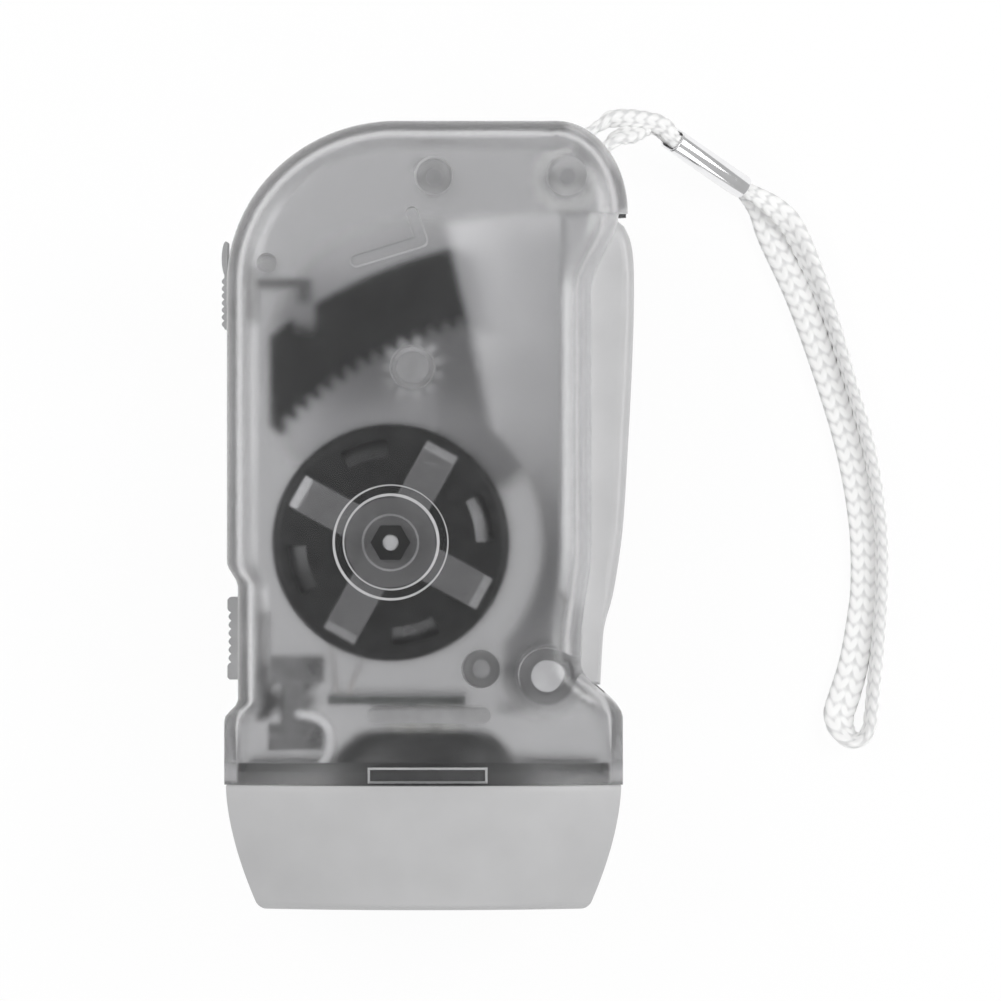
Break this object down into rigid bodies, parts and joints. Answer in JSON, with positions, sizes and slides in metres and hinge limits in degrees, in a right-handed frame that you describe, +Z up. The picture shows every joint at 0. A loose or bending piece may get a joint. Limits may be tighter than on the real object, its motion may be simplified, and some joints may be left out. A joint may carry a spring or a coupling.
{
  "type": "hand press dynamo flashlight",
  "caption": "Pocket dynamo flashlight: a squeeze lever at the side of a clear case drives a gear train and a flywheel generator that light the lamps in the head; braided wrist lanyard.",
  "frame": {"origin": "middle of the case's box at the flat back it lies on", "axes": "+X across towards the squeeze lever, +Y from the lamp to the lanyard end, +Z up out of the front of the case"},
  "size_m": [0.0908, 0.1059, 0.034],
  "materials": {
    "smoke_clear": "frosted clear, smoky",
    "steel_screw": "plain zinc plated",
    "cap_grey": "satin",
    "lens_clear": "clear, polished",
    "reflector_silver": "silvered inside",
    "board_dark": "satin",
    "led_clear": "clear, glossy",
    "lever_grey": "satin",
    "rack_dark": "satin",
    "rivet_steel": "bright",
    "pin_steel": "ground",
    "spring_steel": "bright drawn wire",
    "idler_nylon": "satin, slightly waxy",
    "flywheel_dark": "blackened",
    "arm_steel": "plain",
    "magnet_dark": "ground ferrite",
    "pinion_brass": "plain",
    "bush_dark": "satin",
    "stator_steel": "plain pressed",
    "bobbin_white": "satin",
    "coil_copper": "lacquered copper",
    "lock_grey": "satin",
    "hook_grey": "satin",
    "switch_grey": "satin",
    "switch_dark": "satin",
    "frame_steel": "pressed sheet",
    "terminal_tin": "tinned",
    "wire_white": "smooth insulation",
    "sleeve_chrome": "bright, crimped",
    "braid_white": "woven braid"
  },
  "bodies": {
    "case": {"front_shell": "smoke_clear", "rear_shell": "smoke_clear", "case_screws": "steel_screw", "head_cap": "cap_grey", "lens": "lens_clear", "reflector": "reflector_silver", "led_board": "board_dark", "leds": "led_clear", "lever_pin": "pin_steel", "return_spring": "spring_steel", "idler_axle": "pin_steel", "idler_washer": "pin_steel", "front_bush": "bush_dark", "rear_bush": "pinion_brass", "stator_plate": "stator_steel", "stator_cap": "stator_steel", "stator_screws": "steel_screw", "coil_bobbin": "bobbin_white", "coil_core": "coil_copper", "coil_winding": "coil_copper", "coil_leads": "coil_copper", "switch_body": "switch_dark", "switch_frame": "frame_steel", "switch_screws": "steel_screw", "switch_terminals": "terminal_tin", "lamp_wire": "wire_white", "lanyard_sleeve": "sleeve_chrome", "lanyard_eye_loop": "braid_white", "lanyard_wrist_loop": "braid_white"},
    "lever": {"lever": "lever_grey", "sector_rack": "rack_dark", "rack_rivets": "rivet_steel"},
    "idler": {"idler_gear": "idler_nylon"},
    "rotor": {"flywheel": "flywheel_dark", "clutch_arms": "arm_steel", "ring_magnet": "magnet_dark", "fly_shaft": "pin_steel", "fly_pinion": "pinion_brass"},
    "lock": {"lock_button": "lock_grey", "lock_hook": "hook_grey"},
    "lamp_switch": {"switch_button": "switch_grey", "switch_carriage": "hook_grey", "switch_peg": "switch_dark"}
  },
  "joints": [
    {"name": "flywheel_spin", "type": "hinge", "parent": "case", "child": "rotor", "pos_m": [-0.00483, -0.0034, 0.017], "axis": [0, 0, 1], "range_deg": [0, 1480]},
    {"name": "lever_squeeze", "type": "hinge", "parent": "case", "child": "lever", "pos_m": [0.01567, -0.0209, 0.017], "axis": [0, 0, 1], "range_deg": [-18, 0], "deforming": ["return_spring"]},
    {"name": "idler_spin", "type": "hinge", "parent": "case", "child": "idler", "pos_m": [-0.00195, 0.01967, 0.017], "axis": [0, 0, 1], "range_deg": [-241, 0]},
    {"name": "lock_slide", "type": "slide", "parent": "case", "child": "lock", "axis": [0, 1, 0], "range_m": [-0.0035, 0]},
    {"name": "switch_slide", "type": "slide", "parent": "case", "child": "lamp_switch", "axis": [0, 1, 0], "range_m": [-0.002, 0]}
  ],
  "couplings": [
    {"joint": "lever_squeeze", "follows": "flywheel_spin", "ratio": -0.01216},
    {"joint": "idler_spin", "follows": "flywheel_spin", "ratio": -0.1625}
  ]
}
